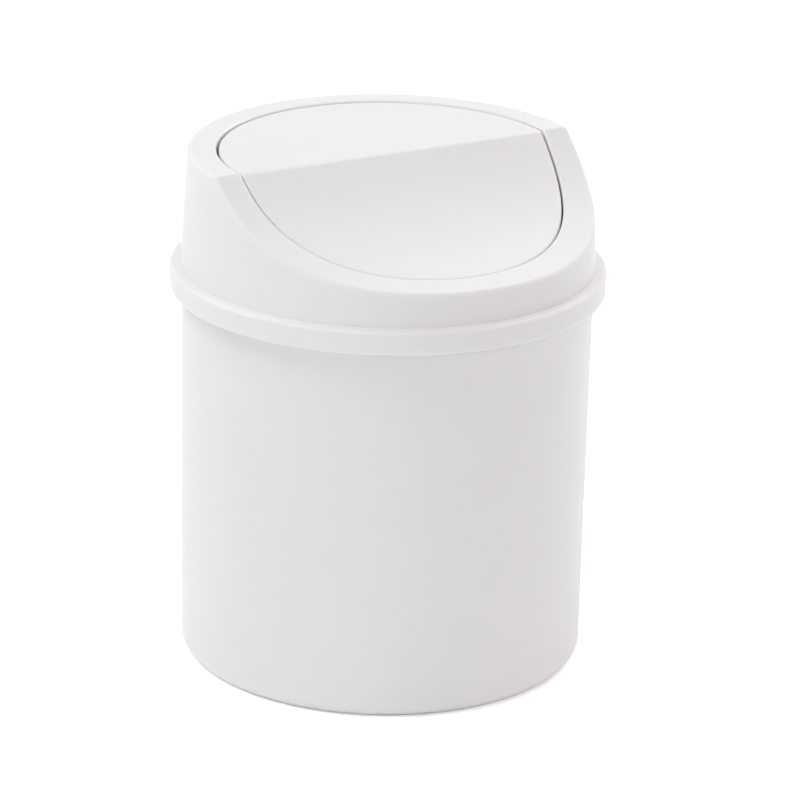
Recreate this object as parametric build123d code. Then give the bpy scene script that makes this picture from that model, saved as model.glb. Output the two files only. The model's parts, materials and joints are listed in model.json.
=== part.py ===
from build123d import *
from math import asin, cos, sin, sqrt
import os

# Countertop trash can with a swing lid, in three mouldings: a bucket, a hood
# that drops over the bucket's lip, and a round see-saw flap that hangs in the
# hood's mouth on two pins of its own.
#
# Millimetres.  The origin is the centre of the foot ring on the table, +Z is
# up, -Y is the front, where the hood is scooped out, and +X is to its right.
#
# Roof and scoop form one skin: flat behind a straight crease, concave in front
# of it.  The hood is a turned shell cut off by that skin, the mouth is cut
# straight down through it, and the flap repeats it a little lower, so that it
# lies flush in the mouth.  The flap's rear half is the heavier one: it falls
# shut on a ledge at the back of the mouth.

# ---- Driving dimensions ------------------------------------------------------
# Bucket
BUCKET_HEIGHT = 130.1          # table to the top of the rim
BUCKET_BASE_DIAMETER = 132.6   # outside, at the table
BUCKET_TOP_DIAMETER = 133.6    # outside, at the rim
BUCKET_WALL = 1.8
BUCKET_FLOOR = 2.0
BASE_CORNER = 3.7              # outside radius from the foot ring to the wall
FLOOR_BEVEL = 2.0              # inside, from the floor to the wall
FOOT_RING_WIDTH = 5.0          # flat ring that the bucket stands on
FOOT_RECESS = 1.2              # the floor inside the ring is raised by this
LIP_OVERHANG = 1.65            # bead round the outside of the rim
LIP_HEIGHT = 3.2
RIM_BEVEL = 0.5                # both upper edges of the rim

# Hood
HOOD_WALL = 1.8
HOOD_HEIGHT = 38.1             # ledge to roof
HOOD_LEAN = 2.05               # the wall leans in by this from ledge to roof
SKIRT_CLEARANCE = 0.5          # lip to skirt, all round
SKIRT_HEIGHT = 7.5             # from its hem to the ledge
SKIRT_HEM = 0.6                # bevel outside the hem
LEDGE_BEVEL = 0.8              # outer edge of the ledge
LEDGE_WIDTH = 3.5              # step from the skirt in to the wall
FRAME_WIDTH = 9.2              # rim of roof and scoop round the mouth
ROOF_CORNER = 1.6              # radius from the wall to the roof and the scoop
CREASE_CORNER = 0.8            # radius from the roof to the scoop
MOUTH_BEVEL = 0.4              # upper edge of the mouth
COLLAR_WALL = 1.6              # turned-down edge of the mouth, inside the hood
COLLAR_DEPTH = 6.0             # below the hood's skin

# Scoop
SCOOP_RADIUS = 100.0           # concave, about a line parallel to X
SCOOP_LIP = 10.8               # height that it leaves of the wall at the front
CREASE_FORWARD = 2.8           # crease and pins, forward of the bucket's axis

# Flap
FLAP_GAP = 0.7                 # in the mouth, at the sides
FLAP_FORWARD = 0.3             # of the mouth's middle: a finer gap in front, a wider one behind
FLAP_RECESS = 0.3              # below the hood's skin
FLAP_WALL = 1.6
FLAP_CREASE = 2.6              # radius over the pins, softer than the hood's
FLAP_BEVEL = 0.4               # upper edge
FLAP_RIM_WALL = 1.5            # turned-down edge
FLAP_RIM_DEPTH = 4.2           # below the hood's skin
RIB_WALL = 1.4                 # two stiffening ribs, front to back
RIB_DEPTH = 3.8                # below the hood's skin
RIB_SPACING = 46.0

# Hinge
PIN_DROP = 6.4                 # pin axis below the roof
PIN_DIAMETER = 4.0
PIN_CLEARANCE = 0.08           # radial, in the lug's eye
PIN_CHAMFER = 0.6
PIN_SHORT = 0.5                # pin's end short of the lug's outer face
SHOULDER_DIAMETER = 6.4        # keeps the flap central in the mouth
SHOULDER_CLEARANCE = 0.3
EAR_RADIUS = 4.0               # tab on the flap that carries the pin
EAR_WALL = 2.2
AXLE_RIB_WALL = 2.0            # rib from ear to ear
AXLE_RIB_DEPTH = 7.4           # below the roof
LUG_RADIUS = 4.8               # lug on the hood that holds the pin
LUG_REACH = 4.6                # outwards from the mouth
THROAT_SQUEEZE = 0.3           # each side of the lug's slot grips the pin by this
THROAT_FLARE = 1.5             # bevel each side of the slot's entry

# Ledge that the flap closes on
STOP_SPAN = 44.0               # degrees of the mouth's edge
STOP_REACH = 2.6               # inwards from the mouth
STOP_WALL = 1.6

# ---- Sizes that follow -------------------------------------------------------
ledge_z = BUCKET_HEIGHT + HOOD_WALL
roof_z = ledge_z + HOOD_HEIGHT
base_r = BUCKET_BASE_DIAMETER / 2
rim_r = BUCKET_TOP_DIAMETER / 2
lip_r = rim_r + LIP_OVERHANG
skirt_inner_r = lip_r + SKIRT_CLEARANCE
skirt_r = skirt_inner_r + HOOD_WALL
hem_z = ledge_z - SKIRT_HEIGHT
wall_base_r = skirt_r - LEDGE_WIDTH
wall_top_r = wall_base_r - HOOD_LEAN
mouth_r = wall_top_r - FRAME_WIDTH
flap_r = mouth_r - FLAP_GAP
flap_inner_r = flap_r - FLAP_RIM_WALL
pin_r = PIN_DIAMETER / 2
pin_y = -CREASE_FORWARD
pin_z = roof_z - PIN_DROP
lug_x = mouth_r + LUG_REACH
scoop_z = ledge_z + SCOOP_LIP + SCOOP_RADIUS
scoop_y = pin_y - sqrt(SCOOP_RADIUS**2 - (scoop_z - roof_z) ** 2)
past = 2 * skirt_r             # further out than anything
NEAR = 0.01                    # two lengths this close are the same


def turned(*corners, span=360):
    """A solid of revolution about Z, from (radius, height) corners in order.

    A corner that is broken also gives how, fillet or chamfer, and by how much.
    """
    outline = make_face(Polyline(*[corner[:2] for corner in corners], close=True))
    for radius, height, *broken in corners:
        if broken:
            smooth, size = broken
            outline = smooth(outline.vertices().sort_by_distance((radius, height))[0], size)
    return revolve(Plane.XZ * outline, Axis.Z, span)


def tube(outer_r, inner_r, low, high, span=360):
    return turned((inner_r, low), (outer_r, low), (outer_r, high), (inner_r, high), span=span)


def disc(radius):
    """Everything within a radius of the Z axis, up to the roof."""
    return Cylinder(radius, roof_z, align=(Align.CENTER, Align.CENTER, Align.MIN))


def flap_disc(radius):
    """Everything within a radius of the flap's own upright axis."""
    return Pos(0, -FLAP_FORWARD, 0) * disc(radius)


def bar(outline, x_from, x_to):
    """A (y, z) outline carried along X."""
    return Pos(x_from, 0, 0) * extrude(Plane.YZ * outline, x_to - x_from)


def bar_at_pin(radius, x_from, x_to):
    return bar(Pos(pin_y, pin_z) * Circle(radius), x_from, x_to)


def both_sides(solid):
    return solid + mirror(solid, Plane.YZ)


def under_skin(depth, crease_corner=0.0):
    """All that lies more than a depth below the skin of roof and scoop."""
    radius = SCOOP_RADIUS + depth
    flat_z = roof_z - depth
    low = (scoop_y, scoop_z - radius)
    crease = (scoop_y + sqrt(radius**2 - (scoop_z - flat_z) ** 2), flat_z)
    half_way = asin((crease[0] - scoop_y) / radius) / 2
    middle = (scoop_y + radius * sin(half_way), scoop_z - radius * cos(half_way))
    outline = make_face([
        ThreePointArc(low, middle, crease),
        Polyline(crease, (past, flat_z), (past, 0), (-past, 0), (-past, low[1]), low),
    ])
    if crease_corner > 0:
        outline = fillet(outline.vertices().sort_by_distance(crease)[0], crease_corner)
    return bar(outline, -past, past)


def skin_edges(solid, inner_r, outer_r):
    """Edges round the skin, where it meets an upright face between those radii."""
    found = []
    for edge in solid.edges():
        radii = [sqrt(point.X**2 + point.Y**2) for point in (edge @ 0, edge @ 0.5, edge @ 1)]
        is_upright_seam = edge.geom_type == GeomType.LINE
        is_high = edge.center().Z > ledge_z + SCOOP_LIP / 2
        if is_high and not is_upright_seam and inner_r - NEAR < min(radii) and max(radii) < outer_r + NEAR:
            found.append(edge)
    return found


# ---- Bucket ------------------------------------------------------------------
def make_bucket():
    draft = (rim_r - base_r) / BUCKET_HEIGHT
    floor_z = FOOT_RECESS + BUCKET_FLOOR
    lip_z = BUCKET_HEIGHT - LIP_HEIGHT
    foot_inner_r = base_r - BASE_CORNER - FOOT_RING_WIDTH
    return turned(
        (0, FOOT_RECESS),
        (foot_inner_r - FOOT_RECESS, FOOT_RECESS),
        (foot_inner_r, 0),
        (base_r, 0, fillet, BASE_CORNER),
        (base_r + draft * lip_z, lip_z),
        (lip_r, lip_z + LIP_OVERHANG / 2),
        (lip_r, BUCKET_HEIGHT, chamfer, RIM_BEVEL),
        (rim_r - BUCKET_WALL, BUCKET_HEIGHT, chamfer, RIM_BEVEL),
        (base_r + draft * floor_z - BUCKET_WALL, floor_z, chamfer, FLOOR_BEVEL),
        (0, floor_z),
    )


# ---- Hood --------------------------------------------------------------------
def hood_shell():
    """Skirt, ledge, wall, roof and scoop, with the mouth cut out."""
    outside = turned(
        (0, hem_z),
        (skirt_r, hem_z, chamfer, SKIRT_HEM),
        (skirt_r, ledge_z, chamfer, LEDGE_BEVEL),
        (wall_base_r, ledge_z),
        (wall_top_r, roof_z),
        (0, roof_z),
    )
    inside = turned(
        (0, hem_z),
        (skirt_inner_r, hem_z),
        (skirt_inner_r, BUCKET_HEIGHT),
        (wall_base_r - HOOD_WALL, BUCKET_HEIGHT),
        (wall_top_r - HOOD_WALL, roof_z),
        (0, roof_z),
    )
    solid = outside & under_skin(0, CREASE_CORNER)
    solid = fillet(skin_edges(solid, wall_top_r, wall_base_r), ROOF_CORNER)
    solid = solid - disc(mouth_r)
    solid = chamfer(skin_edges(solid, mouth_r, mouth_r), MOUTH_BEVEL)
    return solid - (inside & under_skin(HOOD_WALL))


def lug():
    """The right-hand lug, open below, so that the pin snaps up into its eye."""
    outline = Pos(pin_y, pin_z) * Circle(LUG_RADIUS)
    outline += Pos(pin_y, (pin_z + roof_z) / 2) * Rectangle(2 * LUG_RADIUS, PIN_DROP)
    return bar(outline, 0, lug_x) & under_skin(HOOD_WALL / 2)


def lug_slot():
    """Eye, throat and flared entry of the right-hand lug, cut through the collar too."""
    throat = pin_r - THROAT_SQUEEZE
    mouth_z = pin_z - LUG_RADIUS
    outline = Pos(pin_y, pin_z) * Circle(pin_r + PIN_CLEARANCE)
    outline += make_face(Polyline(
        (pin_y - throat, pin_z),
        (pin_y - throat, mouth_z + THROAT_FLARE),
        (pin_y - throat - THROAT_FLARE, mouth_z),
        (pin_y + throat + THROAT_FLARE, mouth_z),
        (pin_y + throat, mouth_z + THROAT_FLARE),
        (pin_y + throat, pin_z),
        close=True,
    ))
    return bar(outline, 0, lug_x)


def closing_stop():
    """Ledge under the back of the flap's rim, part of the collar."""
    top_z = roof_z - FLAP_RIM_DEPTH
    arc = tube(mouth_r + COLLAR_WALL / 2, mouth_r - STOP_REACH, top_z - STOP_WALL, top_z, STOP_SPAN)
    return Rot(0, 0, 90 - STOP_SPAN / 2) * arc


def make_hood():
    collar = (disc(mouth_r + COLLAR_WALL) & under_skin(HOOD_WALL / 2)) - under_skin(COLLAR_DEPTH)
    collar_and_lugs = collar + both_sides(lug()) - both_sides(lug_slot()) - disc(mouth_r)
    return hood_shell() + collar_and_lugs + closing_stop()


# ---- Flap --------------------------------------------------------------------
def flap_skin():
    """The dished disc with its turned-down rim."""
    solid = flap_disc(flap_r) & under_skin(FLAP_RECESS, FLAP_CREASE)
    solid = chamfer(skin_edges(solid, flap_r - FLAP_FORWARD, flap_r + FLAP_FORWARD), FLAP_BEVEL)
    hollow = flap_disc(flap_inner_r) & under_skin(FLAP_RECESS + FLAP_WALL, FLAP_CREASE - FLAP_WALL)
    return solid - hollow - under_skin(FLAP_RIM_DEPTH)


def flap_ribs():
    """Two ribs from front to back, and one along the pins."""
    rib = Pos(RIB_SPACING / 2, 0, roof_z / 2) * Box(RIB_WALL, 2 * flap_r, roof_z)
    ribs = both_sides(rib) - under_skin(RIB_DEPTH)
    axle_rib = Pos(0, pin_y, roof_z - AXLE_RIB_DEPTH / 2) * Box(2 * flap_r, AXLE_RIB_WALL, AXLE_RIB_DEPTH)
    return (ribs + axle_rib) & flap_disc(flap_r - FLAP_RIM_WALL / 2)


def ear():
    """The right-hand ear, with its pin and the shoulder that keeps the flap central."""
    outline = Pos(pin_y, pin_z) * Circle(EAR_RADIUS)
    outline += Pos(pin_y, (pin_z + roof_z) / 2) * Rectangle(2 * EAR_RADIUS, PIN_DROP)
    tab = bar(outline, flap_inner_r - EAR_WALL, flap_r) & flap_disc(flap_r)
    shoulder_r = SHOULDER_DIAMETER / 2
    lug_face_x = sqrt(mouth_r**2 - (CREASE_FORWARD + shoulder_r) ** 2)
    shoulder = bar_at_pin(shoulder_r, flap_inner_r, lug_face_x - SHOULDER_CLEARANCE)
    pin = bar_at_pin(pin_r, flap_inner_r, lug_x - PIN_SHORT)
    pin = chamfer(pin.edges().sort_by(Axis.X)[-1], PIN_CHAMFER)
    return tab + shoulder + pin


def make_flap():
    below = (flap_ribs() + both_sides(ear())) & under_skin(FLAP_RECESS + FLAP_WALL / 2)
    return flap_skin() + below


if __name__ == "__main__":
    os.makedirs("parts", exist_ok=True)
    nodes = {"bucket": make_bucket(), "hood": make_hood(), "swing_flap": make_flap()}
    for name, solid in nodes.items():
        export_step(solid, f"parts/{name}.step")
        print(name, "volume", round(solid.volume), "mm3")
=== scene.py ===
# %% [markdown]
# # A countertop bin with a swing lid
#
# The bin is three mouldings of one white plastic: a bucket, a hood that drops over the bucket's
# lip, and a round flap that see-saws on two pins in the hood's mouth.  The CAD model already has
# every size and every moving joint.  This lesson gives each moulding a clean, closed mesh with its
# small roundings, the finish of moulded plastic, and the light of a small white studio.
#
# The first cell loads the CAD model as a frame that nothing here moves.  Each new piece is built
# where its CAD node is, so it needs no fitting, and it rides on the same body.

# %% Load the frame
import json
from collections import namedtuple
from math import asin, ceil, cos, radians, sin, sqrt, tan

import bmesh
import bpy
from mathutils import Matrix, Vector


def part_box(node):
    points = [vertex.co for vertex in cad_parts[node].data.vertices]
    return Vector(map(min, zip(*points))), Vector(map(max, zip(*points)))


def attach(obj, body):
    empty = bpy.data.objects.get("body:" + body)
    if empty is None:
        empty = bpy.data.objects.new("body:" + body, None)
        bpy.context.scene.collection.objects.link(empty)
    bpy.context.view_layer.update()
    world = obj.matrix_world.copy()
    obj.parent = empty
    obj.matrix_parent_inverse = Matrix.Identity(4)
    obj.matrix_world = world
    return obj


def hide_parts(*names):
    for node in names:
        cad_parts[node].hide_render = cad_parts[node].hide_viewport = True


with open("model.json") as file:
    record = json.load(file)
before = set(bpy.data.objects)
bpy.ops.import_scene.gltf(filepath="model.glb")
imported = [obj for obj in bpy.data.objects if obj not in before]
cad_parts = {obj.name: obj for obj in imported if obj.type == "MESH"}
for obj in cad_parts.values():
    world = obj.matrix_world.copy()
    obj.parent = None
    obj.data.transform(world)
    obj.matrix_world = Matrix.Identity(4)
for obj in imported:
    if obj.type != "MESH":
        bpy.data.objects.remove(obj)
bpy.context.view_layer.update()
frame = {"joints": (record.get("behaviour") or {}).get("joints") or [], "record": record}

MM = 0.001

# %% [markdown]
# ## The camera
#
# A product picture of something this small is taken from over a metre away with a long lens, so
# that the round bucket hardly widens towards the viewer.  The camera stands to the left of the
# front and looks about 20 degrees down.  It could be aimed with a Track To constraint, but turns
# given as plain angles are exact and easy to adjust, so they are written out here.  They are
# applied like a head's movements: first the way it faces, then the nod, then the tilt.

# %% Camera
CAMERA_DISTANCE = 1268.7 * MM     # from the bin's axis, over the floor
CAMERA_HEIGHT = 548.8 * MM
CAMERA_SIDE = radians(30.2)       # to the left of the bin's front
CAMERA_YAW = radians(0.22)        # aimed that much to the right of the axis
CAMERA_PITCH = radians(20.11)     # downwards
CAMERA_ROLL = radians(1.38)
CAMERA_LENS = 185.4               # millimetres, on a 36 mm sensor


def add_camera():
    towards_viewer = Vector((-sin(CAMERA_SIDE), -cos(CAMERA_SIDE), 0))
    stand = towards_viewer * CAMERA_DISTANCE + Vector((0, 0, CAMERA_HEIGHT))
    face = Matrix.Rotation(-CAMERA_SIDE - CAMERA_YAW, 4, "Z")
    nod = Matrix.Rotation(radians(90) - CAMERA_PITCH, 4, "X")
    tilt = Matrix.Rotation(CAMERA_ROLL, 4, "Z")
    bpy.ops.object.camera_add()
    camera = bpy.context.object
    camera.name = "camera"
    camera.matrix_world = Matrix.Translation(stand) @ face @ nod @ tilt
    camera.data.lens = CAMERA_LENS
    bpy.context.scene.camera = camera
    return camera


camera = add_camera()
print("camera stands at", [round(value, 3) for value in camera.location])

# %% [markdown]
# ## Sizes
#
# What the frame can tell is read from it: the CAD boxes of the three nodes and the place of the
# hinge.  Wall thicknesses and roundings are hidden in those boxes, so they are named here, in
# millimetres, as a mould maker would list them.

# %% Sizes that the frame gives
bucket_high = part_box("bucket")[1]
hood_low, hood_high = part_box("hood")
flap_low, flap_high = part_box("swing_flap")
hinge = next(joint for joint in frame["joints"] if joint["name"] == "flap_swing")
rim_z = bucket_high.z
lip_r = bucket_high.x
roof_z = hood_high.z
hem_z = hood_low.z
skirt_r = hood_high.x
flap_r = (flap_high.y - flap_low.y) / 2
flap_y = (flap_high.y + flap_low.y) / 2
pin_end_x = flap_high.x
pin_y = hinge["pos_m"][1]
pin_z = hinge["pos_m"][2]
print("rim", round(rim_z / MM, 1), "roof", round(roof_z / MM, 1), "skirt radius", round(skirt_r / MM, 2))

# %% Sizes of the mouldings
BUCKET_BASE_RADIUS = 66.3 * MM
BUCKET_RIM_RADIUS = 66.8 * MM
BUCKET_WALL = 1.8 * MM
BUCKET_FLOOR = 2.0 * MM
FOOT_RING_WIDTH = 5.0 * MM
FOOT_RECESS = 1.2 * MM
BASE_CORNER = 3.7 * MM
FLOOR_CORNER = 3.0 * MM
LIP_HEIGHT = 3.2 * MM
LIP_CORNER = 0.6 * MM
HOOD_WALL = 1.8 * MM
HOOD_LEAN = 2.05 * MM             # the wall comes in this far from ledge to roof
LEDGE_WIDTH = 3.5 * MM
FRAME_WIDTH = 9.2 * MM            # between the wall's top and the mouth
COLLAR_WALL = 1.6 * MM
COLLAR_DEPTH = 6.0 * MM
SCOOP_RADIUS = 100.0 * MM
SCOOP_LIP = 10.8 * MM             # where the scoop would run out level, over the ledge
FLAP_RECESS = 0.3 * MM            # the flap lies this much lower than the hood's skin
FLAP_WALL = 1.6 * MM
FLAP_RIM_WALL = 1.5 * MM
FLAP_RIM_DEPTH = 4.2 * MM

ledge_z = rim_z + HOOD_WALL
wall_base_r = skirt_r - LEDGE_WIDTH
wall_top_r = wall_base_r - HOOD_LEAN
mouth_r = wall_top_r - FRAME_WIDTH
scoop_z = ledge_z + SCOOP_LIP + SCOOP_RADIUS
scoop_y = pin_y - sqrt(SCOOP_RADIUS**2 - (scoop_z - roof_z) ** 2)
print("mouth radius", round(mouth_r / MM, 2), "gap beside the flap", round((mouth_r - flap_r) / MM, 2),
      "and in front of it", round((mouth_r - flap_r + flap_y) / MM, 2))

# %% [markdown]
# ## Working by rings
#
# All three mouldings are round, and a round moulding is a stack of rings: the hem of its skirt,
# the edge of its ledge, the top of its wall and so on, up the outside and down the inside.  Such a
# shape could be drawn as a half section and spun.  Pulling rings out of a first circle gives the
# same mesh, and it lets the work stop between two rings to bend or cut what is there.
#
# Three of these helpers do the work.  One starts a piece with a circle, one pulls the selected ring
# to its next place, and one selects vertices, edges or faces by a test of where they are, because
# an operator acts on all that is selected.

# %% Ring helpers
SEGMENTS = 256                    # a facet is 1.7 mm round the widest ring
NEAR = 0.02 * MM                  # two places this close are the same


def pick(piece):
    """Select one piece and nothing else."""
    bpy.ops.object.select_all(action="DESELECT")
    piece.select_set(True)
    bpy.context.view_layer.objects.active = piece


def edit(piece):
    pick(piece)
    bpy.ops.object.mode_set(mode="EDIT")


def leave_edit():
    bpy.ops.object.mode_set(mode="OBJECT")


def named(name):
    """Name the primitive just added, and put its place into its mesh."""
    bpy.ops.object.transform_apply(location=True, rotation=True, scale=True)
    piece = bpy.context.object
    piece.name = name
    piece.data.name = name
    return piece


def choose(kind, test):
    """Select the vertices, edges or faces, kind VERT, EDGE or FACE, that pass a test."""
    bpy.ops.mesh.select_mode(type=kind)
    bpy.ops.mesh.select_all(action="DESELECT")
    mesh = bmesh.from_edit_mesh(bpy.context.object.data)
    items = {"VERT": mesh.verts, "EDGE": mesh.edges, "FACE": mesh.faces}[kind]
    chosen = [item for item in items if test(item)]
    for item in chosen:
        item.select_set(True)
    mesh.select_flush_mode()
    bmesh.update_edit_mesh(bpy.context.object.data)
    return len(chosen)


def pull_ring(radius, height):
    """Extrude the selected ring and set the new one to a radius and a height."""
    mesh = bmesh.from_edit_mesh(bpy.context.object.data)
    start = next(vert.co.copy() for vert in mesh.verts if vert.select)
    bpy.ops.mesh.extrude_region_move(TRANSFORM_OT_translate={"value": (0, 0, height - start.z)})
    grow = radius / start.xy.length
    bpy.ops.transform.resize(value=(grow, grow, 1), center_override=(0, 0, 0))


def raise_rings(name, outline):
    """A piece made of the rings of an outline, given as (radius, height) pairs, left in edit mode."""
    radius, height = outline[0]
    bpy.ops.mesh.primitive_circle_add(vertices=SEGMENTS, radius=radius, location=(0, 0, height))
    piece = named(name)
    edit(piece)
    bpy.ops.mesh.select_mode(type="EDGE")
    bpy.ops.mesh.select_all(action="SELECT")
    for radius, height in outline[1:]:
        pull_ring(radius, height)
    return piece


def at_ring(radius, height):
    """A test for what lies on one ring."""
    def test(item):
        verts = getattr(item, "verts", [item])
        return all(abs(v.co.z - height) < NEAR and abs(v.co.xy.length - radius) < NEAR for v in verts)
    return test


def round_edges(test, size, segments):
    """Round the chosen edges by a size, measured along the faces on both sides."""
    count = choose("EDGE", test)
    bpy.ops.mesh.bevel(offset=size, segments=segments, affect="EDGES")
    return count


def close_up():
    """Merge doubles and turn every face outwards, then leave edit mode."""
    bpy.ops.mesh.select_all(action="SELECT")
    bpy.ops.mesh.remove_doubles(threshold=NEAR / 10)
    bpy.ops.mesh.normals_make_consistent(inside=False)
    leave_edit()


# %% [markdown]
# ## The bucket
#
# A plain drafted tub.  It stands on a narrow ring round a raised floor, so that it doesn't rock.
# Its rim has a bead outside, which stiffens it and holds the hood clear of the wall.  The wall is
# half a millimetre wider at the top than at the bottom, just enough to leave the mould.
#
# The rings run from the raised middle of the underside, round the foot, up the outside, over the
# rim and down the inside to the floor.  Two flat faces close the ends.  The roundings come last,
# as bevels of whole rings, because a ring of even quads bevels without a flaw.

# %% Bucket
def make_bucket():
    floor_z = FOOT_RECESS + BUCKET_FLOOR
    lip_z = rim_z - LIP_HEIGHT
    draft = (BUCKET_RIM_RADIUS - BUCKET_BASE_RADIUS) / rim_z
    lip_overhang = lip_r - BUCKET_RIM_RADIUS
    foot_inner_r = BUCKET_BASE_RADIUS - BASE_CORNER - FOOT_RING_WIDTH
    recess = (foot_inner_r - FOOT_RECESS, FOOT_RECESS)
    foot = (BUCKET_BASE_RADIUS, 0)
    bead_outside = (lip_r, rim_z)
    rim_inside = (BUCKET_RIM_RADIUS - BUCKET_WALL, rim_z)
    floor = (BUCKET_BASE_RADIUS + draft * floor_z - BUCKET_WALL, floor_z)
    bucket = raise_rings("bucket_shell", [
        recess,
        (foot_inner_r, 0),
        foot,
        (BUCKET_BASE_RADIUS + draft * lip_z, lip_z),
        (lip_r, lip_z + lip_overhang / 2),
        bead_outside,
        rim_inside,
        floor,
    ])
    bpy.ops.mesh.edge_face_add()
    choose("EDGE", at_ring(*recess))
    bpy.ops.mesh.edge_face_add()
    round_edges(at_ring(*foot), BASE_CORNER, segments=8)
    round_edges(at_ring(*floor), FLOOR_CORNER, segments=6)
    round_edges(at_ring(*bead_outside), LIP_CORNER, segments=4)
    round_edges(at_ring(*rim_inside), LIP_CORNER, segments=4)
    close_up()
    return bucket


bucket = make_bucket()
print("bucket faces:", len(bucket.data.polygons))

# %% [markdown]
# ## The skin of roof and scoop
#
# The hood's top is one skin: a flat roof behind a straight crease, and a scoop in front of it, cut
# as if by a large roller lying across the bin.  The flap repeats the same skin a little lower, and
# the undersides repeat it lower still.
#
# Cutting the shapes with a Boolean would leave the corner with vertices at random, which bevel
# badly.  Here the skin is a sheet used as a tool: the rings are made flat first, at roof height,
# and a Shrinkwrap modifier then lowers them straight down onto the sheet.  The sheet is a plane
# whose front edge is spun about the roller's axis.  Rings can't show the crease, so the flat faces
# are first bisected along it, with a few cuts where the crease is rounded.

# %% Skin sheet
SHEET_REACH = 80 * MM
SCOOP_STEPS = 48
CREASE_FACET = 0.3 * MM           # a crease has one facet for each of these in its radius
CUT_SNAP = 0.05 * MM              # a cut that passes this close to a vertex goes through it
# A layer may meet a leaning wall, which is given by its radii at the ledge and at the roof.
Layer = namedtuple("Layer", "depth crease_radius wall", defaults=(0, None))


def crease_at(depth):
    """How far back the crease lies at a depth below the skin, and how steeply the scoop starts."""
    radius = SCOOP_RADIUS + depth
    crease_y = scoop_y + sqrt(radius**2 - (scoop_z - roof_z + depth) ** 2)
    return crease_y, asin((crease_y - scoop_y) / radius)


def add_skin_sheet(depth, crease_radius=0):
    """The skin at a depth, as a flat plane with its front edge spun on into the scoop."""
    crease_y, slope = crease_at(depth)
    bpy.ops.mesh.primitive_plane_add(
        size=2 * SHEET_REACH, location=(0, crease_y + SHEET_REACH, roof_z - depth))
    sheet = named("skin_sheet")
    edit(sheet)

    def on_crease(edge):
        return all(abs(vert.co.y - crease_y) < NEAR for vert in edge.verts)

    choose("EDGE", on_crease)
    bpy.ops.mesh.spin(steps=SCOOP_STEPS, angle=slope, center=(0, scoop_y, scoop_z), axis=(1, 0, 0))
    if crease_radius > 0:
        round_edges(on_crease, crease_radius * tan(slope / 2), ceil(crease_radius / CREASE_FACET))
    leave_edit()
    return sheet


def crease_cuts(layer):
    """Where, from back to front, the faces are cut so that they can bend over the crease."""
    crease_y, slope = crease_at(layer.depth)
    if layer.crease_radius == 0:
        return [crease_y]
    start_y = crease_y + layer.crease_radius * tan(slope / 2)
    facets = ceil(layer.crease_radius / CREASE_FACET)
    return [start_y - layer.crease_radius * sin(slope * cut / facets) for cut in range(facets + 1)]


def move_onto(piece, indices, tool, **how):
    """Shrinkwrap some of a piece's vertices onto a tool."""
    pick(piece)
    group = piece.vertex_groups.new(name="moving")
    group.add(indices, 1, "REPLACE")
    bpy.ops.object.modifier_add(type="SHRINKWRAP")
    wrap = piece.modifiers[-1]
    wrap.target = tool
    wrap.vertex_group = group.name
    for setting, value in how.items():
        setattr(wrap, setting, value)
    bpy.ops.object.modifier_apply(modifier=wrap.name)
    piece.vertex_groups.clear()


STRAIGHT_DOWN = {"wrap_method": "PROJECT", "use_project_z": True, "use_negative_direction": True,
                 "use_positive_direction": True}
SHORTEST_WAY = {"wrap_method": "NEAREST_SURFACEPOINT"}
WALL_TURNS = 3                    # times that a ring goes to the wall and back to the skin


def cut_at_creases(piece, layers):
    """Cut right through a piece along every layer's crease."""
    edit(piece)
    for layer in layers:
        for cut_y in crease_cuts(layer):
            bpy.ops.mesh.select_all(action="SELECT")
            bpy.ops.mesh.bisect(plane_co=(0, cut_y, 0), plane_no=(0, 1, 0), threshold=CUT_SNAP)
    leave_edit()


def bring_to_wall(piece, ring, wall, sheet):
    """Bring a ring in to a leaning wall, a cone given by its radii at ledge and roof.

    Moving to the cone lifts the ring off the skin a little, and moving back takes it off the cone,
    so the two moves take turns.
    """
    base_r, top_r = wall
    bpy.ops.mesh.primitive_cone_add(
        vertices=SEGMENTS, radius1=base_r, radius2=top_r, depth=roof_z - ledge_z,
        end_fill_type="NOTHING", location=(0, 0, (roof_z + ledge_z) / 2))
    cone = named("wall_cone")
    for turn in range(WALL_TURNS):
        move_onto(piece, ring, cone, **SHORTEST_WAY)
        move_onto(piece, ring, sheet, **STRAIGHT_DOWN)
    bpy.data.objects.remove(cone)


def bend_to_skin(piece, *layers):
    """Lower what lies flat at each layer's depth below the roof onto the skin at that depth.

    All the cuts come first, while every layer is still flat and can be told by its height.
    """
    cut_at_creases(piece, layers)
    places = [vert.co.copy() for vert in piece.data.vertices]
    for layer in layers:
        level = roof_z - layer.depth
        lowered = [index for index, place in enumerate(places) if abs(place.z - level) < NEAR]
        sheet = add_skin_sheet(layer.depth, layer.crease_radius)
        move_onto(piece, lowered, sheet, **STRAIGHT_DOWN)
        if layer.wall:
            ring = [index for index in lowered if places[index].xy.length > layer.wall[0] - NEAR]
            bring_to_wall(piece, ring, layer.wall, sheet)
        bpy.data.objects.remove(sheet)
        print(piece.name, "at", round(layer.depth / MM, 1), "mm deep:", len(lowered), "vertices lowered")


# %% [markdown]
# ## The hood
#
# The hood is a cap with a skirt.  The skirt slides over the bucket's bead until the underside of
# the ledge rests on the rim.  Above the ledge the wall leans in a little and ends in a generous
# rounding, which runs down both sides of the scoop in one line.  Round the mouth the skin turns
# down into a collar, which stiffens it and hides the raw edge.
#
# The rings go up the outside, in to the mouth, down the collar, and back along the underside to
# the hem, where a bridge closes the loop.  So the shell has its true thickness without a Solidify.

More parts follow.
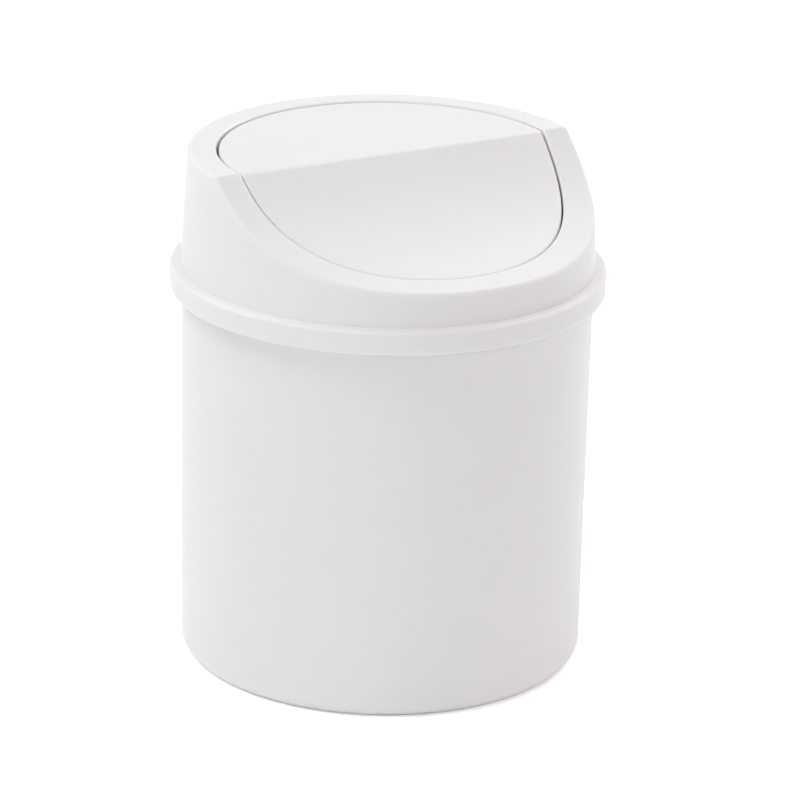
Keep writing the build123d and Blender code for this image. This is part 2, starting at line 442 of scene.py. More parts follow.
# %% Hood shell
FRAME_STEPS = 4                   # from the wall in to the mouth
CREASE_CORNER = 0.8 * MM
ROOF_CORNER = 1.2 * MM
MOUTH_CORNER = 0.8 * MM
FOOT_OF_COLLAR_CORNER = 0.3 * MM
LEDGE_CORNER = 1.0 * MM
LEDGE_RISE = 0.4 * MM             # towards the wall, so that water runs off
LEDGE_HOLLOW = 0.2 * MM
HEM_CORNER = 0.6 * MM
HEM_INNER_CORNER = 0.4 * MM
SHARP = radians(40)
STEEP = 0.5                       # a face looks up or down from this much of its normal on


def is_sharp(edge):
    return edge.calc_face_angle(0) > SHARP


def borders_top(edge):
    return any(face.normal.z > STEEP for face in edge.link_faces)


def borders_underside(edge):
    return any(face.normal.z < -STEEP for face in edge.link_faces)


def rings_between(from_r, to_r, height):
    """Evenly spaced rings on the flat between two radii, without the first and the last."""
    return [(from_r + (to_r - from_r) * step / FRAME_STEPS, height) for step in range(1, FRAME_STEPS)]


def hood_corner(edge):
    """The long edge from the wall to the roof and the scoop."""
    is_high = all(vert.co.z > ledge_z + SCOOP_LIP / 2 for vert in edge.verts)
    is_outside = all(vert.co.xy.length > wall_top_r - NEAR for vert in edge.verts)
    return is_high and is_outside and is_sharp(edge)


def mouth_edge(edge):
    """The upper edge of the mouth."""
    is_at_mouth = all(abs(vert.co.xy.length - mouth_r) < 2 * NEAR for vert in edge.verts)
    return is_at_mouth and is_sharp(edge) and borders_top(edge)


def collar_foot(edge):
    """The two lower edges of the collar."""
    inner_r = mouth_r - 2 * NEAR
    outer_r = mouth_r + COLLAR_WALL + NEAR
    is_at_collar = all(inner_r < vert.co.xy.length < outer_r for vert in edge.verts)
    return is_at_collar and is_sharp(edge) and borders_underside(edge) and edge.is_convex


def make_hood_shell():
    collar_r = mouth_r + COLLAR_WALL
    skirt_inner_r = skirt_r - HOOD_WALL
    wall_inner_r = wall_base_r - HOOD_WALL
    under_z = roof_z - HOOD_WALL
    foot_z = roof_z - COLLAR_DEPTH
    hem = (skirt_r, hem_z)
    hem_inside = (skirt_inner_r, hem_z)
    ledge_edge = (skirt_r, ledge_z)
    wall_foot = (wall_base_r, ledge_z + LEDGE_RISE)
    hood = raise_rings("hood_shell", [
        hem,
        ledge_edge,
        wall_foot,
        (wall_base_r, roof_z),
        *rings_between(wall_top_r, mouth_r, roof_z),
        (mouth_r, roof_z),
        (mouth_r, foot_z),
        (collar_r, foot_z),
        (collar_r, under_z),
        *rings_between(collar_r, wall_inner_r - HOOD_LEAN, under_z),
        (wall_inner_r, under_z),
        (wall_inner_r, rim_z),
        (skirt_inner_r, rim_z),
        hem_inside,
    ])
    choose("EDGE", lambda edge: at_ring(*hem)(edge) or at_ring(*hem_inside)(edge))
    bpy.ops.mesh.bridge_edge_loops()
    close_up()
    bend_to_skin(
        hood,
        Layer(0, CREASE_CORNER, wall=(wall_base_r, wall_top_r)),
        Layer(HOOD_WALL, wall=(wall_inner_r, wall_inner_r - HOOD_LEAN)),
        Layer(COLLAR_DEPTH),
    )
    edit(hood)
    print("edges rounded at the hood's corner", round_edges(hood_corner, ROOF_CORNER, segments=6))
    print("at its mouth", round_edges(mouth_edge, MOUTH_CORNER, segments=3))
    print("under its collar", round_edges(collar_foot, FOOT_OF_COLLAR_CORNER, segments=2))
    round_edges(at_ring(*ledge_edge), LEDGE_CORNER, segments=5)
    round_edges(at_ring(*wall_foot), LEDGE_HOLLOW, segments=2)
    round_edges(at_ring(*hem), HEM_CORNER, segments=3)
    round_edges(at_ring(*hem_inside), HEM_INNER_CORNER, segments=2)
    close_up()
    return hood


hood = make_hood_shell()
print("hood faces:", len(hood.data.polygons))

# %% [markdown]
# ## Lugs and closing ledge
#
# Inside the hood, at both ends of the crease, a lug holds one of the flap's pins.  Its eye is open
# below through a slot a little narrower than the pin: the pin is pressed up through the flared
# entry, the plastic gives, and it snaps home.  At the back of the mouth a short ledge under the
# flap's rim is what the flap falls shut on.
#
# These are few, small and hidden in part, so Boolean modifiers join and cut them.  A tool never
# shares a face with what it meets: it is set a hair's breadth into the wall, which keeps the exact
# solver from having to choose between two faces in one place.
#
# A Boolean can still leave a sliver a few thousandths of a millimetre wide, or a seam that isn't
# quite shut.  After each one, what lies closer than that is merged and holes of three or four
# sides are filled, because the next Boolean needs a closed mesh to tell inside from outside.

# %% Boolean helpers
HAIR = 0.05 * MM
SPARE = 1.0 * MM                  # a cutter reaches this far, or a few times it, past its work
TURN_SEGMENTS = 48
SLIVER = 0.004 * MM
MOST_HOLE_SIDES = 4


def close_seams(piece):
    """Merge what lies closer than a sliver and fill the small holes that are left."""
    edit(piece)
    bpy.ops.mesh.select_all(action="SELECT")
    bpy.ops.mesh.remove_doubles(threshold=SLIVER)
    bpy.ops.mesh.fill_holes(sides=MOST_HOLE_SIDES)
    leave_edit()


def combine(piece, tool, operation):
    """Join a closed tool to the piece, UNION, cut it away, DIFFERENCE, or keep what they share."""
    pick(piece)
    bpy.ops.object.modifier_add(type="BOOLEAN")
    boolean = piece.modifiers[-1]
    boolean.operation = operation
    boolean.solver = "EXACT"
    boolean.object = tool
    bpy.ops.object.modifier_apply(modifier=boolean.name)
    bpy.data.objects.remove(tool)
    close_seams(piece)


def add_block(name, low, high):
    """A box from its lowest to its highest corner."""
    middle = (Vector(low) + Vector(high)) / 2
    bpy.ops.mesh.primitive_cube_add(size=1, location=middle, scale=Vector(high) - Vector(low))
    return named(name)


def add_rod(name, radius, x_from, x_to):
    """A rod along X on the hinge's axis."""
    bpy.ops.mesh.primitive_cylinder_add(
        vertices=TURN_SEGMENTS, radius=radius, depth=abs(x_to - x_from),
        location=((x_from + x_to) / 2, pin_y, pin_z), rotation=(0, radians(90), 0))
    return named(name)


def add_plug(name, radius):
    """A plug about the bin's axis, from inside the bucket to above the roof."""
    bpy.ops.mesh.primitive_cylinder_add(
        vertices=SEGMENTS, radius=radius, depth=2 * (roof_z - rim_z), location=(0, 0, roof_z))
    return named(name)


# %% Lugs with their eyes and slots
LUG_RADIUS = 4.8 * MM
PIN_RADIUS = 2.0 * MM
PIN_CLEARANCE = 0.08 * MM
PIN_SHORT = 0.5 * MM              # the pin ends this far inside the lug's far face
THROAT_SQUEEZE = 0.3 * MM         # half the throat is this much less than the pin's radius
THROAT_FLARE = 1.5 * MM


def add_lug(side):
    """The lug on the right, side 1, or the left, side -1."""
    near_x = side * (mouth_r - 2 * SPARE)
    far_x = side * (pin_end_x + PIN_SHORT)
    lug = add_rod("lug", LUG_RADIUS, near_x, far_x)
    top_z = roof_z - HOOD_WALL / 2
    root = add_block("root", (min(near_x, far_x), pin_y - LUG_RADIUS + HAIR, pin_z),
                     (max(near_x, far_x), pin_y + LUG_RADIUS - HAIR, top_z))
    combine(lug, root, "UNION")
    trim_to_skin(lug, HOOD_WALL / 2)
    combine(lug, add_plug("plug", mouth_r + HAIR), "DIFFERENCE")
    return lug


def trim_to_skin(piece, depth):
    """Cut off what would come out through the scoop: all that is less than a depth under the skin."""
    sheet = add_skin_sheet(depth)
    edit(sheet)
    bpy.ops.mesh.select_all(action="SELECT")
    bpy.ops.mesh.extrude_region_move(TRANSFORM_OT_translate={"value": (0, 0, 2 * SHEET_REACH)})
    close_up()
    combine(piece, sheet, "DIFFERENCE")


def add_slot(side):
    """The eye, the throat and the flared entry of one lug, as a cutter."""
    near_x = side * (mouth_r - 4 * SPARE)
    far_x = side * (pin_end_x + PIN_SHORT + SPARE)
    throat = PIN_RADIUS - THROAT_SQUEEZE
    flare_z = pin_z - LUG_RADIUS + THROAT_FLARE
    slot = add_block("slot", (min(near_x, far_x), pin_y - throat, flare_z),
                     (max(near_x, far_x), pin_y + throat, pin_z))
    edit(slot)
    choose("FACE", lambda face: face.normal.z < -STEEP)
    bpy.ops.mesh.extrude_region_move(TRANSFORM_OT_translate={"value": (0, 0, -2 * THROAT_FLARE)})
    widen = (throat + 2 * THROAT_FLARE) / throat
    bpy.ops.transform.resize(value=(1, widen, 1), center_override=(0, pin_y, 0))
    close_up()
    combine(slot, add_rod("eye", PIN_RADIUS + PIN_CLEARANCE, near_x, far_x), "UNION")
    return slot


for side in (1, -1):
    combine(hood, add_lug(side), "UNION")
for side in (1, -1):
    combine(hood, add_slot(side), "DIFFERENCE")
print("hood faces with lugs:", len(hood.data.polygons))

# %% [markdown]
# ## The ledge that the flap falls shut on
#
# It is a short arc of a flat bar.  It could be cut from a whole ring, but it is quicker drawn as
# the bar's section, which is turned to one end of the arc and spun about the bin's axis from there
# to the other end.

# %% Closing ledge
STOP_SPAN = radians(44)
STOP_REACH = 2.6 * MM
STOP_WALL = 1.6 * MM
STOP_STEPS = 24


def add_closing_ledge():
    """A bar's section, turned back to the right end of the ledge and spun round to the left."""
    top_z = roof_z - FLAP_RIM_DEPTH
    inner_r = mouth_r - STOP_REACH
    outer_r = mouth_r + COLLAR_WALL / 2
    bpy.ops.mesh.primitive_plane_add(
        size=1, location=((inner_r + outer_r) / 2, 0, top_z - STOP_WALL / 2),
        rotation=(radians(90), 0, 0))
    bpy.context.object.scale = (outer_r - inner_r, STOP_WALL, 1)
    ledge = named("closing_ledge")
    edit(ledge)
    bpy.ops.mesh.select_all(action="SELECT")
    back_to_end = radians(90) - STOP_SPAN / 2
    bpy.ops.transform.rotate(value=-back_to_end, orient_axis="Z", center_override=(0, 0, 0))
    bpy.ops.mesh.spin(steps=STOP_STEPS, angle=STOP_SPAN, center=(0, 0, 0), axis=(0, 0, 1))
    close_up()
    return ledge


combine(hood, add_closing_ledge(), "UNION")
print("with the closing ledge the hood has", len(hood.data.polygons), "faces")

# %% [markdown]
# ## The swing flap
#
# A thin dished disc with a turned-down rim, the classic way to make a sheet of plastic stiff.  Two
# ribs run front to back beneath it and one runs along the pins.  It could be a disc with a
# Solidify, but the rim, the top and the underside each follow the skin at a depth of their own, so
# it is made by rings again.  The two round holes that the rings leave are closed by Grid Fill,
# which makes even quads with no crowded point in the middle.

# %% Flap shell
FLAP_CREASE = 2.6 * MM
FLAP_CORNER = 0.8 * MM
FLAP_FOOT_CORNER = 0.3 * MM
GRID_MARGIN = 2.0 * MM


def from_flap_axis(place):
    """How far a place is from the flap's own upright axis, which stands a little forward."""
    return (place.xy - Vector((0, flap_y))).length


def flap_top_edge(edge):
    """The upper edge of the flap's rim."""
    is_at_edge = all(abs(from_flap_axis(vert.co) - flap_r) < 2 * NEAR for vert in edge.verts)
    return is_at_edge and is_sharp(edge) and borders_top(edge)


def flap_foot_edge(edge):
    """The two lower edges of the flap's rim."""
    inner_r = flap_r - FLAP_RIM_WALL - 2 * NEAR
    outer_r = flap_r + NEAR
    is_at_rim = all(inner_r < from_flap_axis(vert.co) < outer_r for vert in edge.verts)
    return is_at_rim and is_sharp(edge) and borders_underside(edge) and edge.is_convex


def make_flap_shell():
    inner_r = flap_r - FLAP_RIM_WALL
    top_z = roof_z - FLAP_RECESS
    under_z = top_z - FLAP_WALL
    foot_z = roof_z - FLAP_RIM_DEPTH
    flap = raise_rings("swing_flap_shell", [
        (flap_r - GRID_MARGIN, top_z),
        (flap_r, top_z),
        (flap_r, foot_z),
        (inner_r, foot_z),
        (inner_r, under_z),
        (inner_r - GRID_MARGIN, under_z),
    ])
    bpy.ops.mesh.fill_grid(span=SEGMENTS // 4)
    choose("EDGE", at_ring(flap_r - GRID_MARGIN, top_z))
    bpy.ops.mesh.fill_grid(span=SEGMENTS // 4)
    bpy.ops.mesh.select_all(action="SELECT")
    bpy.ops.transform.translate(value=(0, flap_y, 0))
    close_up()
    bend_to_skin(
        flap,
        Layer(FLAP_RECESS, FLAP_CREASE),
        Layer(FLAP_RECESS + FLAP_WALL, FLAP_CREASE - FLAP_WALL),
        Layer(FLAP_RIM_DEPTH),
    )
    edit(flap)
    print("edges rounded at the flap's top", round_edges(flap_top_edge, FLAP_CORNER, segments=3))
    print("under its rim", round_edges(flap_foot_edge, FLAP_FOOT_CORNER, segments=2))
    close_up()
    return flap


flap = make_flap_shell()
print("flap faces:", len(flap.data.polygons))

# %% [markdown]
# ## Ribs under the disc
#
# Two thin ribs run from front to back.  They could be cut to the skin's curve with a Boolean, but a
# straight bar in many short lengths bends over the skin in the same way as the shells do.

# %% Ribs
RIB_WALL = 1.4 * MM
RIB_DEPTH = 3.8 * MM
RIB_SPACING = 46.0 * MM
RIB_CUTS = 40                     # across a rib's long edges
AXLE_RIB_WALL = 2.0 * MM
AXLE_RIB_DEPTH = 7.4 * MM


def add_rib(side):
    """A straight bar under the flap, cut into short lengths so that it can follow the skin."""
    x = side * RIB_SPACING / 2
    root_z = roof_z - FLAP_RECESS - FLAP_WALL / 2
    reach = sqrt((flap_r - FLAP_RIM_WALL / 2) ** 2 - (RIB_SPACING / 2 + RIB_WALL) ** 2)
    rib = add_block("rib", (x - RIB_WALL / 2, flap_y - reach, roof_z - RIB_DEPTH),
                    (x + RIB_WALL / 2, flap_y + reach, root_z))
    edit(rib)
    choose("EDGE", lambda edge: abs(edge.verts[0].co.y - edge.verts[1].co.y) > reach)
    bpy.ops.mesh.subdivide(number_cuts=RIB_CUTS)
    close_up()
    bend_to_skin(rib, Layer(FLAP_RECESS + FLAP_WALL / 2), Layer(RIB_DEPTH))
    return rib


def add_axle_rib():
    reach = flap_r - FLAP_RIM_WALL / 2 - HAIR
    return add_block("axle_rib", (-reach, pin_y - AXLE_RIB_WALL / 2, roof_z - AXLE_RIB_DEPTH),
                     (reach, pin_y + AXLE_RIB_WALL / 2, roof_z - FLAP_RECESS - FLAP_WALL))


for side in (1, -1):
    combine(flap, add_rib(side), "UNION")
print("flap faces with ribs:", len(flap.data.polygons))

# %% [markdown]
# ## Ears, shoulders and pins
#
# At each end of the crease an ear hangs from the flap.  A shoulder on it stops the flap from
# drifting sideways in the mouth, and the pin beyond it turns in the lug's eye.  The pin's end is
# chamfered, which helps it into the slot.

# %% Ears and pins
EAR_RADIUS = 4.0 * MM
EAR_WALL = 2.2 * MM
SHOULDER_RADIUS = 3.2 * MM
SHOULDER_CLEARANCE = 0.3 * MM
PIN_CHAMFER = 0.6 * MM


def add_ear(side):
    """A round-ended tab that hangs down at the rim, on the right, side 1, or the left, side -1."""
    inner_r = flap_r - FLAP_RIM_WALL
    near_x = side * (inner_r - EAR_WALL)
    far_x = side * (flap_r + SPARE)
    ear = add_rod("ear", EAR_RADIUS, near_x, far_x)
    tab = add_block("tab", (min(near_x, far_x), pin_y - EAR_RADIUS + HAIR, pin_z),
                    (max(near_x, far_x), pin_y + EAR_RADIUS - HAIR, roof_z))
    combine(ear, tab, "UNION")
    combine(ear, add_plug("plug", flap_r - HAIR), "INTERSECT")
    trim_to_skin(ear, FLAP_RECESS + FLAP_WALL / 2)
    return ear


def add_pin(side):
    """The pin of one side and the shoulder that it comes out of."""
    inner_x = flap_r - FLAP_RIM_WALL - EAR_WALL / 2
    lug_face_x = sqrt(mouth_r**2 - (SHOULDER_RADIUS - pin_y) ** 2)
    shoulder_x = lug_face_x - SHOULDER_CLEARANCE
    end_x = side * pin_end_x
    pin = add_rod("pin", PIN_RADIUS, side * inner_x, end_x)

    def at_end(edge):
        return all(abs(vert.co.x - end_x) < NEAR for vert in edge.verts)

    edit(pin)
    round_edges(at_end, PIN_CHAMFER, segments=2)
    leave_edit()
    shoulder = add_rod("shoulder", SHOULDER_RADIUS, side * inner_x, side * shoulder_x)
    combine(pin, shoulder, "UNION")
    return pin


for side in (1, -1):
    combine(flap, add_ear(side), "UNION")
combine(flap, add_axle_rib(), "UNION")
for side in (1, -1):
    combine(flap, add_pin(side), "UNION")
print("flap faces with ears and pins:", len(flap.data.polygons))

# %% [markdown]
# ## Shading
#
# The mouldings have sharp and smooth places side by side.  Faces are shaded smooth up to an angle,
# past which an edge stays crisp, and the weighted normals keep the large faces flat and leave the
# bend to the narrow roundings, as light shows them on real plastic.

# %% Shading
SMOOTH_UNDER = radians(32)
MILLILITRE = (10 * MM) ** 3


def shade(piece):
    pick(piece)
    bpy.ops.object.shade_smooth_by_angle(angle=SMOOTH_UNDER)
    bpy.ops.object.modifier_add(type="WEIGHTED_NORMAL")
    weighted = piece.modifiers[-1]
    weighted.mode = "FACE_AREA"
    weighted.keep_sharp = True
    bpy.ops.object.modifier_apply(modifier=weighted.name)


def openings_and_volume(piece):
    """How many edges have other than two faces, 0 on a closed mesh, and the volume in millilitres."""
    mesh = bmesh.new()
    mesh.from_mesh(piece.data)
    count = sum(1 for edge in mesh.edges if len(edge.link_faces) != 2)
    volume = mesh.calc_volume(signed=True)
    mesh.free()
    return count, round(volume / MILLILITRE, 3)


for piece in (bucket, hood, flap):
    shade(piece)
    print(piece.name, "has", len(piece.data.polygons), "faces")
    print("open edges and millilitres:", openings_and_volume(piece))

# %% [markdown]
# ## Onto the frame
#
# Each finished piece takes the place of its CAD node and rides on that node's body.  From here on
# it swings with the flap or lifts with the hood, as the joints of the CAD model say.

# %% Place the pieces on the frame
places = (
    (bucket, "bucket", "bucket"),
    (hood, "hood", "hood"),
    (flap, "swing_flap", "flap"),
)
for piece, node, body in places:
    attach(piece, body)
    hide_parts(node)
    print(piece.name, "replaces", node, "on the body", body)

# %% [markdown]
# ## The two sides of a moulding
#
# Each wall was shaped between two halves of a steel mould.  The hollow half, which makes the side
# that is seen, was roughened by sparks so that the plastic comes out matt and hides scratches.  The
# core, which makes the inside, was only polished, so that the moulding slides off it, and what it
# leaves is smoother and more even.  A material could find the inside from coordinates, but the
# scooped skin would need a long formula.  Each face is marked once instead, by where it is and
# which way it looks, in an attribute of its own.

# %% The core side of each wall
FACING = 0.15                     # how squarely a face has to look in a direction to count
CORE_SIDE = "core_side"


def mark_core_side(piece, made_by_core):
    marks = piece.data.attributes.new(CORE_SIDE, "FLOAT", "FACE")
    for face, mark in zip(piece.data.polygons, marks.data):
        outward = face.normal.xy.dot(face.center.xy.normalized())
        mark.value = 1.0 if made_by_core(face.center, face.normal, outward) else 0.0
    print(piece.name, "core-side faces:", sum(1 for mark in marks.data if mark.value > 0))


def inside_bucket(place, normal, outward):
    looks_up_from_floor = normal.z > FACING and place.z < ledge_z / 2
    return outward < -FACING or looks_up_from_floor


def under_hood(place, normal, outward):
    return outward < -FACING or normal.z < -FACING


def under_flap(place, normal, outward):
    is_rim = from_flap_axis(place) > flap_r - FLAP_RIM_WALL / 2 and outward > FACING
    return normal.z < FACING and not is_rim


mark_core_side(bucket, inside_bucket)
mark_core_side(hood, under_hood)
mark_core_side(flap, under_flap)

# %% [markdown]
# ## The grain of the plastic
#
# Matt white polypropylene is never one flat colour.  Its grain is a quarter of a millimetre across
# and a few thousandths deep, and over a few centimetres the pigment and the gloss drift a little
# where the melt flowed.  A bitmap could hold all this, but noise in Object coordinates is sharp at
# any distance, never stretches, and moves with the piece when it swings or lifts.
#
# Both effects go on all three mouldings, so they are node groups: built once, with named inputs
# and outputs, and placed in each material with its own values.

# %% Node helpers
def add_node(tree, kind, **settings):
    node = tree.nodes.new("ShaderNode" + kind)
    for setting, value in settings.items():
        setattr(node, setting, value)
    return node


def link_or_set(tree, socket, source):
    """Link another node's output to a socket, or set the socket to a plain value."""
    if isinstance(source, bpy.types.NodeSocket):
        tree.links.new(source, socket)
    else:
        socket.default_value = source


def feed(tree, node, **inputs):
    """Link or set a node's inputs, which are named as on the node with _ for each space."""
    for name, source in inputs.items():
        link_or_set(tree, node.inputs[name.replace("_", " ")], source)


def calculate(tree, operation, first, second):
    """One Math node on two numbers or outputs."""
    node = add_node(tree, "Math", operation=operation)
    link_or_set(tree, node.inputs[0], first)
    link_or_set(tree, node.inputs[1], second)
    return node.outputs["Value"]


def new_group(name, inputs, outputs):
    tree = bpy.data.node_groups.new(name, "ShaderNodeTree")
    for socket_name, kind in inputs:
        tree.interface.new_socket(name=socket_name, in_out="INPUT", socket_type="NodeSocket" + kind)
    for socket_name, kind in outputs:
        tree.interface.new_socket(name=socket_name, in_out="OUTPUT", socket_type="NodeSocket" + kind)
    return tree, tree.nodes.new("NodeGroupInput").outputs, tree.nodes.new("NodeGroupOutput")


NOISE_LOW = 0.3                   # nearly all of the noise lies between these two
NOISE_HIGH = 0.7


def drifting(tree, place, scale, detail, low, high):
    """Noise, stretched so that it runs between a low and a high value."""
    noise = add_node(tree, "TexNoise")
    feed(tree, noise, Vector=place, Scale=scale, Detail=detail)
    stretch = add_node(tree, "MapRange")
    feed(tree, stretch, Value=noise.outputs["Fac"], From_Min=NOISE_LOW, From_Max=NOISE_HIGH,
         To_Min=low, To_Max=high)
    return stretch.outputs["Result"]


# %% Moulded grain group
GLOSS_SCALE = 3                   # the gloss drifts this many times as often as the pigment
CORE_POLISH = 0.85                # so much of the grain and the gloss drift is gone on the core side


def make_moulded_grain():
    tree, given, result = new_group(
        "moulded_grain",
        (("Plastic Colour", "Color"), ("Pigment Drift", "Float"), ("Drifts per Metre", "Float"),
         ("Grains per Metre", "Float"), ("Matt Roughness", "Float"), ("Polished Roughness", "Float"),
         ("Gloss Drift", "Float"), ("Core Side", "Float")),
        (("Colour", "Color"), ("Roughness", "Float"), ("Height", "Float")),
    )
    place = add_node(tree, "TexCoord").outputs["Object"]

    paler = calculate(tree, "ADD", 1, given["Pigment Drift"])
    darker = calculate(tree, "SUBTRACT", 1, given["Pigment Drift"])
    pigment = drifting(tree, place, given["Drifts per Metre"], detail=2, low=darker, high=paler)
    tinted = add_node(tree, "VectorMath", operation="SCALE")
    feed(tree, tinted, Vector=given["Plastic Colour"], Scale=pigment)

    finish = add_node(tree, "Mix", data_type="FLOAT")
    feed(tree, finish, Factor=given["Core Side"], A=given["Matt Roughness"],
         B=given["Polished Roughness"])
    glossier = calculate(tree, "MULTIPLY", given["Gloss Drift"], -1)
    often = calculate(tree, "MULTIPLY", given["Drifts per Metre"], GLOSS_SCALE)
    gloss = drifting(tree, place, often, detail=2, low=glossier, high=given["Gloss Drift"])
    polished_off = calculate(tree, "MULTIPLY", given["Core Side"], CORE_POLISH)
    left_over = calculate(tree, "SUBTRACT", 1, polished_off)
    gloss_left = calculate(tree, "MULTIPLY", gloss, left_over)
    roughness = calculate(tree, "ADD", finish.outputs["Result"], gloss_left)

    grain = drifting(tree, place, given["Grains per Metre"], detail=3, low=0, high=1)
    height = calculate(tree, "MULTIPLY", grain, left_over)
    feed(tree, result, Colour=tinted.outputs["Vector"], Roughness=roughness, Height=height)
    return tree


# %% Handled edge group
TOUCHES_PER_METRE = 60
LEAST_TOUCHED = 0.4               # the patches run from this share of the rub to all of it


def make_handled_edge():
    """A mask, patchy as fingers leave it, for the band of a piece between two heights."""
    tree, given, result = new_group(
        "handled_edge", (("From Height", "Float"), ("To Height", "Float"), ("Rub", "Float")),
        (("Handled", "Float"),))
    place = add_node(tree, "TexCoord").outputs["Object"]
    axes = add_node(tree, "SeparateXYZ")
    feed(tree, axes, Vector=place)
    band = add_node(tree, "MapRange", interpolation_type="SMOOTHSTEP")
    feed(tree, band, Value=axes.outputs["Z"], From_Min=given["From Height"], From_Max=given["To Height"])
    patches = drifting(tree, place, TOUCHES_PER_METRE, detail=2, low=LEAST_TOUCHED, high=1)
    touched = calculate(tree, "MULTIPLY", band.outputs["Result"], patches)
    feed(tree, result, Handled=calculate(tree, "MULTIPLY", touched, given["Rub"]))
    return tree


moulded_grain = make_moulded_grain()
handled_edge = make_handled_edge()
print("groups:", moulded_grain.name, handled_edge.name)

# %% [markdown]
# ## Three plastics of one white
#
# The slot's white comes from the frame's record, so the render and the CAD part agree.  Polypropylene
# bends light a little less than glass, 1.49, and its mould grain makes it matt.  The bucket has the
# coarsest grain, the flap the finest, and each piece is rubbed a shade glossier where hands take
# hold of it: the bucket's lip, the hood's crown and the flap's upper part.  Hands only rub the
# outer side, so the mask is multiplied by what isn't core side.
#
# Thin white plastic is also a little milky: light goes in, wanders a millimetre or two and comes
# out beside where it went in, which softens every small edge.  Paint wouldn't do that.  So half of
# the colour comes from the shader's subsurface part, with the same reach for all three colours.
#
# The Principled shader stays in the material, with its constants on its own sockets.  The groups
# feed only its colour, its roughness and the height of the bump.

# %% Materials
WHITE = (*frame["record"]["materials"][0]["base_color"], 1)
POLYPROPYLENE_IOR = 1.49
PIGMENT_DRIFT = 0.008
DRIFTS_PER_METRE = 22
GLOSS_DRIFT = 0.02
GRAIN_DEPTH = 0.006 * MM
MILKINESS = 0.5
LIGHT_REACH = 1.5 * MM            # light wanders this far inside the plastic


def make_plastic(name, grains_per_metre, matt, polished, handled_from, handled_to, rub):
    """rub is how much roughness hands take away between two heights."""
    material = bpy.data.materials.new(name)
    material.use_nodes = True
    tree = material.node_tree
    shader = tree.nodes["Principled BSDF"]
    feed(tree, shader, IOR=POLYPROPYLENE_IOR, Subsurface_Weight=MILKINESS,
         Subsurface_Radius=(1, 1, 1), Subsurface_Scale=LIGHT_REACH)

    core_side = add_node(tree, "Attribute", attribute_name=CORE_SIDE)
    grain = add_node(tree, "Group", node_tree=moulded_grain)
    feed(tree, grain, Plastic_Colour=WHITE, Pigment_Drift=PIGMENT_DRIFT,
         Drifts_per_Metre=DRIFTS_PER_METRE, Grains_per_Metre=grains_per_metre,
         Matt_Roughness=matt, Polished_Roughness=polished, Gloss_Drift=GLOSS_DRIFT,
         Core_Side=core_side.outputs["Fac"])
    edge = add_node(tree, "Group", node_tree=handled_edge)
    feed(tree, edge, From_Height=handled_from, To_Height=handled_to, Rub=rub)
    outer_side = calculate(tree, "SUBTRACT", 1, core_side.outputs["Fac"])
    handled = calculate(tree, "MULTIPLY", edge.outputs["Handled"], outer_side)
    rubbed = calculate(tree, "SUBTRACT", grain.outputs["Roughness"], handled)

    bump = add_node(tree, "Bump")
    feed(tree, bump, Height=grain.outputs["Height"], Distance=GRAIN_DEPTH, Strength=1)
    feed(tree, shader, Base_Color=grain.outputs["Colour"], Roughness=rubbed,
         Normal=bump.outputs["Normal"])
    print(name, "with", len(tree.nodes), "nodes")
    return material


def coat(piece, plastic):
    piece.data.materials.clear()
    piece.data.materials.append(plastic)


coat(bucket, make_plastic(
    "bucket_plastic", grains_per_metre=3600, matt=0.55, polished=0.34,
    handled_from=rim_z - 4 * MM, handled_to=rim_z, rub=0.08))
coat(hood, make_plastic(
    "hood_plastic", grains_per_metre=4000, matt=0.53, polished=0.34,
    handled_from=ledge_z + 20 * MM, handled_to=roof_z, rub=0.06))
coat(flap, make_plastic(
    "flap_plastic", grains_per_metre=4400, matt=0.50, polished=0.32,
    handled_from=roof_z - 12 * MM, handled_to=roof_z, rub=0.06))

# %% [markdown]
# ## The table and the white surround
#
# A white object on white is lit mostly by what is around it: the table throws as much light up as
# the room throws down.  The table is a plain pale plane, far larger than the view.  A picture like
# this wants it pure white, and brighter lamps would only burn out the bin, so the table has a
# second, paler colour for the rays that come straight from the camera or by way of a mirror or
# glass.  It is still a surface in the same light, so it keeps the bin's shadow.
#
# Far from the lamps any table goes grey.  For the same rays it therefore fades out, well behind
# the bin's shadow and where it still looks white, and the white room takes its place.

# %% Table and world
TABLE_SIZE = 12                   # metres
TABLE_WHITE = 0.92
TABLE_SEEN = 1.6                  # over 1, so that open table stays white up to the shadow
TABLE_ROUGHNESS = 0.9
FADE_STARTS = 0.5                 # metres from the bin
FADE_ENDS = 1.3
ROOM_LIGHT = 0.2


def grey(value):
    return (value, value, value, 1)


def seen_rays(tree):
    """1 for a ray from the camera, a mirror or glass, and 0 for the light on the bin."""
    rays = add_node(tree, "LightPath")
    seen = calculate(tree, "MAXIMUM", rays.outputs["Is Camera Ray"], rays.outputs["Is Glossy Ray"])
    return calculate(tree, "MAXIMUM", seen, rays.outputs["Is Transmission Ray"])


def add_table():
    bpy.ops.object.select_all(action="DESELECT")
    bpy.ops.mesh.primitive_plane_add(size=TABLE_SIZE)
    table = bpy.context.object
    table.name = "table"
    return table


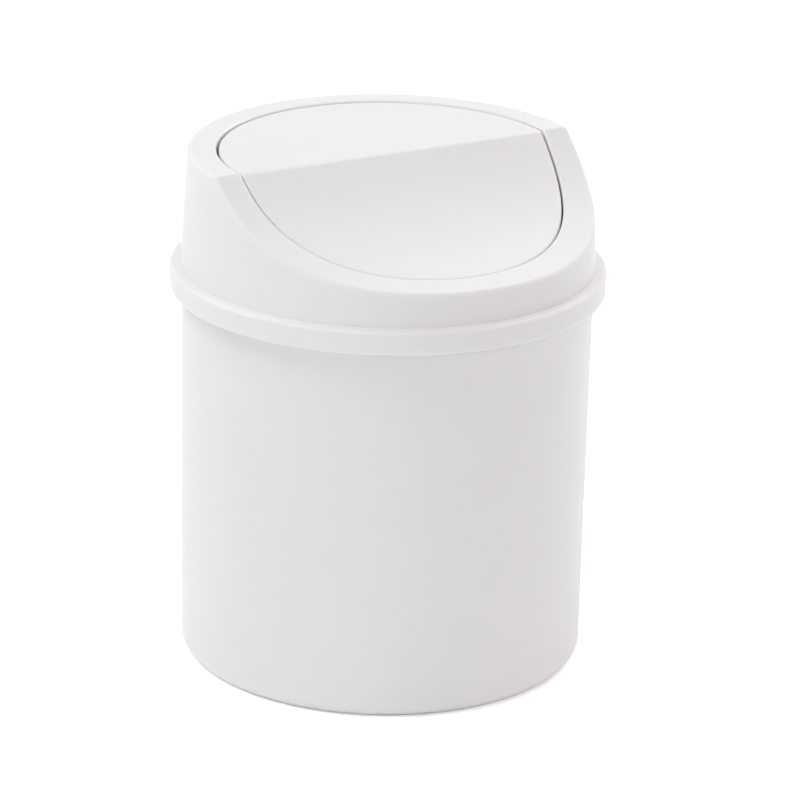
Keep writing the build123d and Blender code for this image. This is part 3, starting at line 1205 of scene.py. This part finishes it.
def make_table_white():
    material = bpy.data.materials.new("table_white")
    material.use_nodes = True
    tree = material.node_tree
    seen = seen_rays(tree)
    colour = add_node(tree, "Mix", data_type="RGBA")
    feed(tree, colour, Factor=seen, A=grey(TABLE_WHITE), B=grey(TABLE_SEEN))
    shader = tree.nodes["Principled BSDF"]
    feed(tree, shader, Base_Color=colour.outputs["Result"], Roughness=TABLE_ROUGHNESS,
         Specular_IOR_Level=0)

    distance = add_node(tree, "VectorMath", operation="LENGTH")
    feed(tree, distance, Vector=add_node(tree, "TexCoord").outputs["Object"])
    fade = add_node(tree, "MapRange", interpolation_type="SMOOTHSTEP")
    feed(tree, fade, Value=distance.outputs["Value"], From_Min=FADE_STARTS, From_Max=FADE_ENDS)
    surface = add_node(tree, "MixShader")
    tree.links.new(calculate(tree, "MULTIPLY", fade.outputs["Result"], seen), surface.inputs["Fac"])
    tree.links.new(shader.outputs["BSDF"], surface.inputs[1])
    tree.links.new(add_node(tree, "BsdfTransparent").outputs["BSDF"], surface.inputs[2])
    tree.links.new(surface.outputs["Shader"], tree.nodes["Material Output"].inputs["Surface"])
    return material


def make_room():
    """A plain white room: dim as a light, pure white where it is seen."""
    room = bpy.data.worlds.new("white_room")
    bpy.context.scene.world = room
    room.use_nodes = True
    tree = room.node_tree
    strength = add_node(tree, "MapRange")
    feed(tree, strength, Value=seen_rays(tree), To_Min=ROOM_LIGHT, To_Max=1)
    feed(tree, tree.nodes["Background"], Color=grey(1), Strength=strength.outputs["Result"])


table = add_table()
table.data.materials.append(make_table_white())
make_room()
bpy.context.scene.view_settings.view_transform = "Standard"
print("table", TABLE_WHITE, "and room light", ROOM_LIGHT)

# %% [markdown]
# ## Seven soft boxes
#
# Large lamps close by give soft edges to every shadow.  Two on the left, one high and one behind,
# make the roof and the left side the palest and lay the hood's shadow under its skirt.  A low, wide
# one beside the camera fills the front.  The wide one behind on the right lifts that edge again, so
# that the darkest part of the wall is a little right of the middle, and the rest only fill.  The
# left ones are a shade cooler, as from a window, and two fills a shade warmer.  The others are
# close to daylight.
#
# Each is placed by its turn from the camera's side, its height angle and its distance, and faces
# the middle of the bin.  With one distance for all, a lamp's width alone sets how soft its light
# is, and its power how strong.

# %% Soft boxes
LAMP_DISTANCE = 1.8               # metres, like the widths
LAMP_HEIGHT = 0.8
LAMP_AIM = Vector((0, 0, roof_z / 2))
COOL = (0.91, 0.935, 1.0)
DAYLIGHT = (0.98, 0.983, 1.0)
WARM = (1.0, 0.92, 0.84)


def add_softbox(name, turn, rise, width, power, tint):
    """turn is in degrees to the right of the camera, as seen from it, and rise is above level.

    width is in metres and power in watts.
    """
    side = CAMERA_SIDE - radians(turn)
    level = cos(radians(rise))
    towards = Vector((-sin(side) * level, -cos(side) * level, sin(radians(rise))))
    bpy.ops.object.light_add(type="AREA")
    lamp = bpy.context.object
    lamp.name = name
    turned = towards.to_track_quat("Z", "Y").to_matrix().to_4x4()
    lamp.matrix_world = Matrix.Translation(LAMP_AIM + towards * LAMP_DISTANCE) @ turned
    lamp.data.shape = "RECTANGLE"
    lamp.data.size = width
    lamp.data.size_y = LAMP_HEIGHT
    lamp.data.energy = power
    lamp.data.color = tint
    lamp.visible_camera = False
    print(name, [round(value, 2) for value in lamp.matrix_world.translation], power, "W")


add_softbox("behind_left", -120, 35, 1.6, 9.9, COOL)
add_softbox("high_front_left", -60, 62, 0.8, 9.0, COOL)
add_softbox("low_front", -25, 10, 1.7, 8.4, DAYLIGHT)
add_softbox("front_right", 45, 35, 0.8, 3.5, WARM)
add_softbox("low_right", 100, 10, 0.8, 6.0, DAYLIGHT)
add_softbox("behind_right", 144, 35, 1.2, 11.4, DAYLIGHT)
add_softbox("overhead", 0, 90, 0.8, 3.4, WARM)
